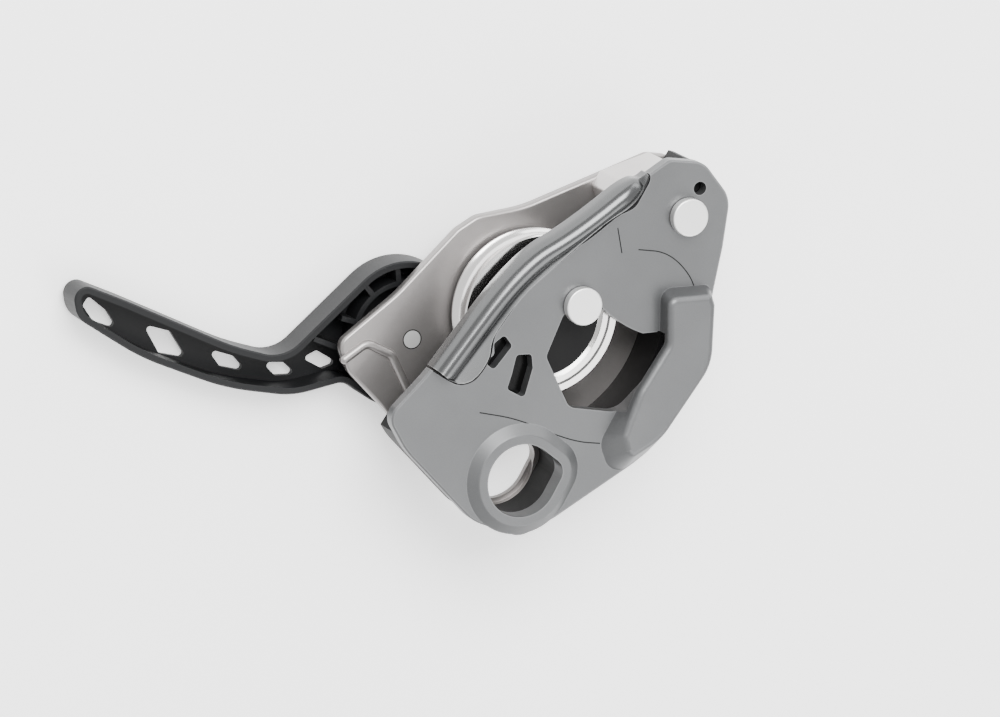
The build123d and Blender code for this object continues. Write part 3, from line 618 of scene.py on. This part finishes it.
@dataclass
class FormedInsert:
    """The steel insert that is formed up over the rope edge of the front plate."""

    materials: Dict[str, bpy.types.Material]
    crest_line: Tuple[Point, ...] = (
        (-31.8, 11.0),
        (-28.9, 42.0),
        (-20.9, 55.6),
        (-13.2, 76.0),
    )
    border: Tuple[Point, ...] = (
        (-34.6, 10.75),
        (-27.4, 10.75),
        (-24.6, 12.6),
        (-23.3, 15.6),
        (-23.3, 20.4),
        (-24.9, 23.0),
        (-25.5, 26.0),
        (-24.7, 36.4),
        (-20.4, 49.4),
        (-15.9, 62.0),
        (-12.4, 67.6),
        (-12.1, 73.0),
        (-12.9, 76.3),
    )
    flank: Tuple[Point, ...] = (
        (-3.0, 6.1),
        (-3.05, 8.4),
        (-2.9, 10.0),
        (-2.45, 11.2),
        (-1.7, 12.05),
        (-0.8, 12.5),
        (0.2, 12.55),
        (1.1, 12.2),
        (1.9, 11.5),
        (2.5, 10.6),
        (3.0, 9.8),
        (3.6, 9.3),
        (4.4, 9.06),
    )
    fade_start: float = 0.86
    fade_end: float = 0.965
    step: float = 0.8
    thickness: float = 2.9
    end_share: float = 0.3
    widest: float = 12.0
    border_gap: float = 0.4

    def crest_height(self, share: float) -> float:
        """How much of the roll stands at a share of the crest line, from 1 down to 0."""
        if share <= self.fade_start:
            return 1.0
        if share >= self.fade_end:
            return 0.0
        gone = (share - self.fade_start) / (self.fade_end - self.fade_start)
        return math.sqrt(max(0.0, 1.0 - gone**2))

    def border_reach(self, spot: Vector, side: Vector, line: Sequence[Point]) -> float:
        """How far the border lies from the crest line.

        Args:
            spot: a point of the crest line.
            side: the direction away from the rope edge.
            line: the border's points.

        Returns:
            The distance.
        """
        nearest = self.widest
        for first, second in zip(line, line[1:]):
            start, run = Vector(first), Vector(second) - Vector(first)
            spread = side.x * run.y - side.y * run.x
            if abs(spread) < 1e-9:
                continue
            gap = start - spot
            reach = (gap.x * run.y - gap.y * run.x) / spread
            share = (gap.x * side.y - gap.y * side.x) / spread
            if -0.001 <= share <= 1.001 and self.border_gap < reach < nearest:
                nearest = reach
        return nearest

    def section(self, spot: Vector, side: Vector, reach: float, height: float) -> List[Vector]:
        """One closed section across the insert.

        Args:
            spot: its point on the crest line.
            side: the direction away from the rope edge.
            reach: how far it runs to the border.
            height: how much of the roll stands, from 0 to 1.

        Returns:
            Its points, in millimetres.
        """
        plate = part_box("head_bush")[1][2] / MM
        squeeze = min(1.0, reach / (self.flank[-1][0] + self.border_gap))
        points = []
        for offset, level in self.flank:
            outer = offset * (self.end_share + (1.0 - self.end_share) * height)
            shift = offset * squeeze if offset > 0 else outer
            raised = plate + (level - plate) * height if level > plate else level
            place = spot + side * shift
            points.append(Vector((place.x, place.y, raised)))
        for level in (plate, plate - self.thickness):
            place = spot + side * reach
            points.append(Vector((place.x, place.y, level)))
        return points

    def build(self) -> bpy.types.Object:
        """Builds the insert in place of its plain solid."""
        crest = smooth_line(self.crest_line, self.step)
        border = smooth_line(self.border, self.step, 2)
        corners: List[Tuple[float, float, float]] = []
        for index, spot in enumerate(crest):
            before = Vector(crest[max(index - 1, 0)])
            after = Vector(crest[min(index + 1, len(crest) - 1)])
            along = (after - before).normalized()
            side = Vector((along.y, -along.x))
            share = index / (len(crest) - 1)
            reach = self.border_reach(Vector(spot), side, border)
            for point in self.section(Vector(spot), side, reach, self.crest_height(share)):
                corners.append(tuple(part * MM for part in point))
        width = len(self.flank) + 2
        faces = [tuple(range(width)), tuple(range(len(corners) - width, len(corners)))]
        for row in range(len(crest) - 1):
            for k in range(width):
                here, there = row * width + k, row * width + (k + 1) % width
                faces.append((here, there, there + width, here + width))
        piece = make_piece(
            "formed_lip_insert",
            corners,
            faces,
            Body.FRONT_PLATE,
            self.materials["wear_steel"],
        )
        CadFinishes.keep_flats_flat(piece, 40.0)
        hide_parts("lip_wear_insert")
        return piece


@dataclass
class EngravedLines:
    """Plain border lines of a generic design on the front plate."""

    materials: Dict[str, bpy.types.Material]
    width: float = 0.28 * MM
    proud: float = 0.02 * MM
    routes: Tuple[Tuple[Point, ...], ...] = (
        ((-18.1, 8.2), (-9.0, 11.6), (0.4, 12.9), (8.0, 14.6), (13.2, 17.1)),
        ((-5.2, 60.2), (2.0, 63.6), (11.1, 61.6), (15.4, 57.0), (16.6, 50.6)),
        ((-12.8, 61.8), (-8.4, 57.4)),
        ((-16.6, 60.2), (-12.6, 67.4), (-12.3, 73.0), (-13.0, 76.0)),
        ((-34.0, 10.7), (-27.0, 10.7), (-24.2, 12.8), (-23.1, 15.6), (-23.2, 20.6)),
    )

    def build(self) -> None:
        """Makes each line as a thin dark ribbon on the plate's face."""
        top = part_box("head_bush")[1][2] + self.proud
        for number, route in enumerate(self.routes):
            line = smooth_line([(x * MM, y * MM) for x, y in route], 0.4 * MM)
            corners = ribbon(line, self.width, top)
            faces = [(2 * i, 2 * i + 1, 2 * i + 3, 2 * i + 2) for i in range(len(line) - 1)]
            make_piece(
                f"engraved_line_{number + 1}",
                corners,
                faces,
                Body.FRONT_PLATE,
                self.materials["black_moulding"],
            )


@dataclass
class RivetJoint:
    """The dark joint round the flush end of the handle's rivet."""

    materials: Dict[str, bpy.types.Material]
    proud: float = 0.02 * MM
    gap: float = 0.25 * MM
    shank_share: float = 0.47
    count: int = 72

    def build(self) -> None:
        """Makes the joint as a thin ring on the fixed plate's face."""
        low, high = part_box("handle_rivet")
        washer_low, washer_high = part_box("handle_washer")
        middle_x = (washer_low[0] + washer_high[0]) / 2
        middle_y = (washer_low[1] + washer_high[1]) / 2
        inner = (high[0] - low[0]) / 2 * self.shank_share
        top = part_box("channel_liner")[0][2] + self.proud
        corners: List[Tuple[float, float, float]] = []
        for index in range(self.count):
            turn = 2 * math.pi * index / self.count
            across, up = math.cos(turn), math.sin(turn)
            for radius in (inner, inner + self.gap):
                corners.append((middle_x + radius * across, middle_y + radius * up, top))
        last = 2 * self.count
        faces = [
            (2 * i, 2 * i + 1, (2 * i + 3) % last, (2 * i + 2) % last) for i in range(self.count)
        ]
        make_piece(
            "rivet_joint_ring",
            corners,
            faces,
            Body.FRAME,
            self.materials["black_moulding"],
        )


# ---------------------------------------------------------------- studio
@dataclass(frozen=True)
class SoftLight:
    """One soft rectangular light that looks at the object."""

    name: str
    place: Tuple[float, float, float]
    size: Point
    power: float


@dataclass
class Studio:
    """Pale floor, soft lights and the camera."""

    target: Tuple[float, float, float] = (-13.02 * MM, 21.66 * MM, -6.76 * MM)
    right: Tuple[float, float, float] = (0.7535, 0.5269, 0.3932)
    up: Tuple[float, float, float] = (-0.4758, 0.8498, -0.2270)
    towards: Tuple[float, float, float] = (-0.4537, -0.0160, 0.8910)
    distance: float = 1.5
    view_width: float = 0.2353
    sensor: float = 36.0
    floor_reach: float = 6.0
    floor_gap: float = 0.05 * MM
    sky_strength: float = 1.5
    lights: Tuple[SoftLight, ...] = (
        SoftLight("key_light", (-0.5, 0.5, 0.9), (0.7, 0.7), 26.0),
        SoftLight("fill_light", (0.7, -0.2, 0.7), (0.5, 0.9), 6.0),
        SoftLight("rim_light", (0.1, 0.9, 0.25), (0.9, 0.3), 4.0),
    )

    def build_floor(self) -> None:
        """A wide pale floor under the lowest point."""
        low = CAD_BOX[0][2] - self.floor_gap
        mesh = bpy.data.meshes.new("floor")
        reach = self.floor_reach
        mesh.from_pydata(
            [
                (-reach, -reach, low),
                (reach, -reach, low),
                (reach, reach, low),
                (-reach, reach, low),
            ],
            [],
            [(0, 1, 2, 3)],
        )
        floor = bpy.data.objects.new("floor", mesh)
        bpy.context.scene.collection.objects.link(floor)
        graph = Graph("floor_paper")
        grain = graph.noise(graph.place(), 900.0, 2.0)
        mesh.materials.append(
            graph.finish(
                {
                    "Base Color": graph.mix(grain * 0.2, (0.93, 0.93, 0.93), (0.88, 0.88, 0.88)),
                    "Roughness": 0.9,
                    "Emission Color": (1.0, 1.0, 1.0, 1.0),
                    "Emission Strength": 0.6,
                }
            )
        )

    def build_light(self, light: SoftLight) -> None:
        """Adds one light, turned to the object.

        Args:
            light: its name, place, size and power.
        """
        data = bpy.data.lights.new(light.name, "AREA")
        data.shape = "RECTANGLE"
        data.size, data.size_y = light.size
        data.energy = light.power
        lamp = bpy.data.objects.new(light.name, data)
        lamp.location = light.place
        sight = Vector(self.target) - Vector(light.place)
        lamp.rotation_euler = sight.to_track_quat("-Z", "Y").to_euler()
        bpy.context.scene.collection.objects.link(lamp)

    def build_lights(self) -> None:
        """The sky and three soft lights."""
        world = bpy.data.worlds.new("studio")
        world.use_nodes = True
        sky = world.node_tree.nodes["Background"]
        sky.inputs["Color"].default_value = (1.0, 1.0, 1.0, 1.0)
        sky.inputs["Strength"].default_value = self.sky_strength
        bpy.context.scene.world = world
        for light in self.lights:
            self.build_light(light)

    def build_camera(self) -> None:
        """The camera, at its viewing angle."""
        data = bpy.data.cameras.new("camera")
        data.sensor_width = self.sensor
        data.lens = self.sensor * self.distance / self.view_width
        data.clip_start = 0.01
        data.clip_end = 30.0
        camera = bpy.data.objects.new("camera", data)
        axes = Matrix((self.right, self.up, self.towards)).transposed().to_4x4()
        axes.translation = Vector(self.target) + Vector(self.towards) * self.distance
        camera.matrix_world = axes
        bpy.context.scene.collection.objects.link(camera)
        bpy.context.scene.camera = camera

    def build(self) -> None:
        """Builds all of it."""
        self.build_floor()
        self.build_lights()
        self.build_camera()


def main() -> None:
    """Builds the classes in order."""
    logging.basicConfig(level=logging.INFO, format="%(name)s: %(message)s")
    finishes = CadFinishes()
    finishes.dress()
    FormedInsert(finishes.materials).build()
    EngravedLines(finishes.materials).build()
    RivetJoint(finishes.materials).build()
    Studio().build()


if __name__ == "__main__":
    main()
